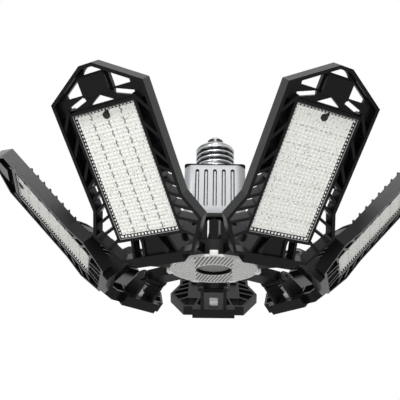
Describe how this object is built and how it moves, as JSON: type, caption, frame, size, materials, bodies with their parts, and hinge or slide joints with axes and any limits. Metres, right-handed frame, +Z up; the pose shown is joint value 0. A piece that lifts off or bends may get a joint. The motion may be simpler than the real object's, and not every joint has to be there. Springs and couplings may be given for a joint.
{
  "type": "folding garage light",
  "caption": "Screw-in garage lamp with hinged flat LED panels that fold up round a central ring lamp, driver housing and screw base",
  "frame": {"origin": "on the lamp's axis, at the foot of the screw shell", "axes": "+Z up toward the socket; the gap between two panels faces -Y, the viewer's side"},
  "size_m": [0.277, 0.2711, 0.11],
  "materials": {
    "black_frame": "satin moulded black plastic",
    "black_metal": "black coated cast aluminium",
    "silver": "satin silver aluminium",
    "nickel": "bright nickel plate",
    "steel": "plain steel",
    "white_board": "white solder mask with LED chips",
    "lens": "clear moulded lens with fine dots",
    "ring_lens": "clear lens with slanted prisms",
    "grey_cap": "grey moulded plastic",
    "green_board": "green circuit board",
    "dark_insulator": "dark moulded insulator",
    "pale_plug": "white moulded plug",
    "copper": "wound copper and ferrite"
  },
  "bodies": {
    "hub": {"hub_body": "black_metal", "ring_lens": "ring_lens", "ring_led_board": "white_board", "centre_cap": "grey_cap", "neck": "black_frame", "driver_housing": "silver", "housing_foot_cover": "black_frame", "driver_board": "green_board", "driver_capacitor": "black_frame", "driver_choke": "copper", "base_collar": "black_frame", "screw_shell": "nickel", "base_insulator": "dark_insulator", "centre_contact": "nickel"},
    "panel_1": {"panel_frame_1": "black_metal", "led_board_1": "white_board", "panel_lens_1": "lens", "hinge_pin_1": "steel", "lead_plug_1": "pale_plug"},
    "panel_2": {"panel_frame_2": "black_metal", "led_board_2": "white_board", "panel_lens_2": "lens", "hinge_pin_2": "steel", "lead_plug_2": "pale_plug"},
    "panel_3": {"panel_frame_3": "black_metal", "led_board_3": "white_board", "panel_lens_3": "lens", "hinge_pin_3": "steel", "lead_plug_3": "pale_plug"},
    "panel_4": {"panel_frame_4": "black_metal", "led_board_4": "white_board", "panel_lens_4": "lens", "hinge_pin_4": "steel", "lead_plug_4": "pale_plug"},
    "panel_5": {"panel_frame_5": "black_metal", "led_board_5": "white_board", "panel_lens_5": "lens", "hinge_pin_5": "steel", "lead_plug_5": "pale_plug"},
    "panel_6": {"panel_frame_6": "black_metal", "led_board_6": "white_board", "panel_lens_6": "lens", "hinge_pin_6": "steel", "lead_plug_6": "pale_plug"},
    "panel_7": {"panel_frame_7": "black_metal", "led_board_7": "white_board", "panel_lens_7": "lens", "hinge_pin_7": "steel", "lead_plug_7": "pale_plug"}
  },
  "joints": [
    {"name": "panel_1_fold", "type": "hinge", "parent": "hub", "child": "panel_1", "pos_m": [0, 0.0532, -0.0621], "axis": [1, 0, 0], "range_deg": [-45, 45]},
    {"name": "panel_2_fold", "type": "hinge", "parent": "hub", "child": "panel_2", "pos_m": [-0.04159, 0.03317, -0.0621], "axis": [0.6235, 0.7818, 0], "range_deg": [-45, 45]},
    {"name": "panel_3_fold", "type": "hinge", "parent": "hub", "child": "panel_3", "pos_m": [-0.05187, -0.01184, -0.0621], "axis": [-0.2225, 0.9749, 0], "range_deg": [-45, 45]},
    {"name": "panel_4_fold", "type": "hinge", "parent": "hub", "child": "panel_4", "pos_m": [-0.02308, -0.04793, -0.0621], "axis": [-0.901, 0.4339, 0], "range_deg": [-45, 45]},
    {"name": "panel_5_fold", "type": "hinge", "parent": "hub", "child": "panel_5", "pos_m": [0.02308, -0.04793, -0.0621], "axis": [-0.901, -0.4339, 0], "range_deg": [-45, 45]},
    {"name": "panel_6_fold", "type": "hinge", "parent": "hub", "child": "panel_6", "pos_m": [0.05187, -0.01184, -0.0621], "axis": [-0.2225, -0.9749, 0], "range_deg": [-45, 45]},
    {"name": "panel_7_fold", "type": "hinge", "parent": "hub", "child": "panel_7", "pos_m": [0.04159, 0.03317, -0.0621], "axis": [0.6235, -0.7818, 0], "range_deg": [-45, 45]}
  ]
}
